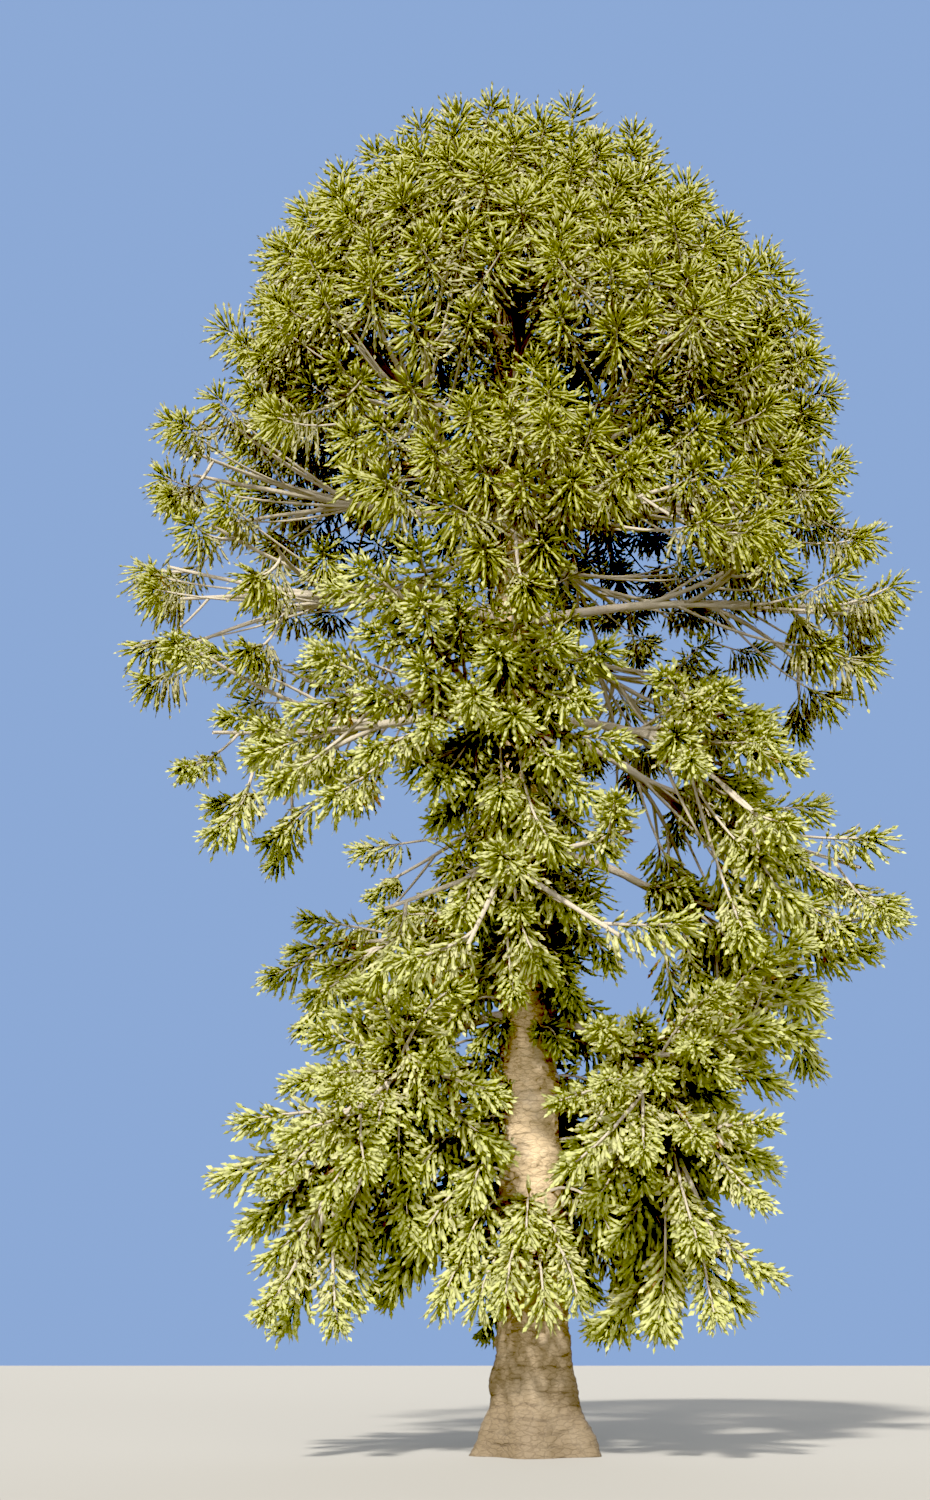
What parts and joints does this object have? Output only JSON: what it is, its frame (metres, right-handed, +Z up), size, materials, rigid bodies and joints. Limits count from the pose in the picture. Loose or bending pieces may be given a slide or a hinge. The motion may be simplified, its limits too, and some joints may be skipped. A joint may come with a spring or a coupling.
{
  "type": "bunya pine tree",
  "caption": "Tall evergreen conifer with a straight flared trunk, long bare limbs and a domed crown of rope-like leafy sprays, rooted in level ground.",
  "frame": {"origin": "middle of the flat cut under the trunk, at ground level", "axes": "+Z up along the trunk, -Y towards the viewer of the picture, +X to the viewer's right"},
  "size_m": [18.5758, 18.3276, 29.9234],
  "materials": {
    "bark": "rough grey-brown bark with level ring cracks and flaking plates",
    "bough_bark": "pale grey-tan bark with ring scars",
    "foliage": "stiff glossy dark to yellow-green leaves"
  },
  "bodies": {
    "root": {"trunk": "bark", "bough_apron_1": "bough_bark", "bough_apron_2": "bough_bark", "bough_apron_3": "bough_bark", "bough_lower_1": "bough_bark", "bough_lower_2": "bough_bark", "bough_lower_3": "bough_bark", "bough_lower_4": "bough_bark", "bough_lower_5": "bough_bark", "bough_middle_1": "bough_bark", "bough_middle_2": "bough_bark", "bough_middle_3": "bough_bark", "bough_middle_4": "bough_bark", "bough_middle_5": "bough_bark", "bough_shoulder_1": "bough_bark", "bough_shoulder_2": "bough_bark", "bough_shoulder_3": "bough_bark", "bough_shoulder_4": "bough_bark", "bough_shoulder_5": "bough_bark", "bough_skirt_1": "bough_bark", "bough_skirt_2": "bough_bark", "bough_skirt_3": "bough_bark", "bough_upper_1": "bough_bark", "bough_upper_2": "bough_bark", "bough_upper_3": "bough_bark", "bough_upper_4": "bough_bark", "bough_upper_5": "bough_bark", "bough_upper_6": "bough_bark", "foliage_apron_1": "foliage", "foliage_apron_2": "foliage", "foliage_apron_3": "foliage", "foliage_crest_1": "foliage", "foliage_crest_2": "foliage", "foliage_crest_3": "foliage", "foliage_crest_4": "foliage", "foliage_lower_1": "foliage", "foliage_lower_2": "foliage", "foliage_lower_3": "foliage", "foliage_lower_4": "foliage", "foliage_lower_5": "foliage", "foliage_middle_1": "foliage", "foliage_middle_2": "foliage", "foliage_middle_3": "foliage", "foliage_middle_4": "foliage", "foliage_middle_5": "foliage", "foliage_shoulder_1": "foliage", "foliage_shoulder_2": "foliage", "foliage_shoulder_3": "foliage", "foliage_shoulder_4": "foliage", "foliage_shoulder_5": "foliage", "foliage_skirt_1": "foliage", "foliage_skirt_2": "foliage", "foliage_skirt_3": "foliage", "foliage_top": "foliage", "foliage_upper_1": "foliage", "foliage_upper_2": "foliage", "foliage_upper_3": "foliage", "foliage_upper_4": "foliage", "foliage_upper_5": "foliage", "foliage_upper_6": "foliage"}
  },
  "joints": []
}
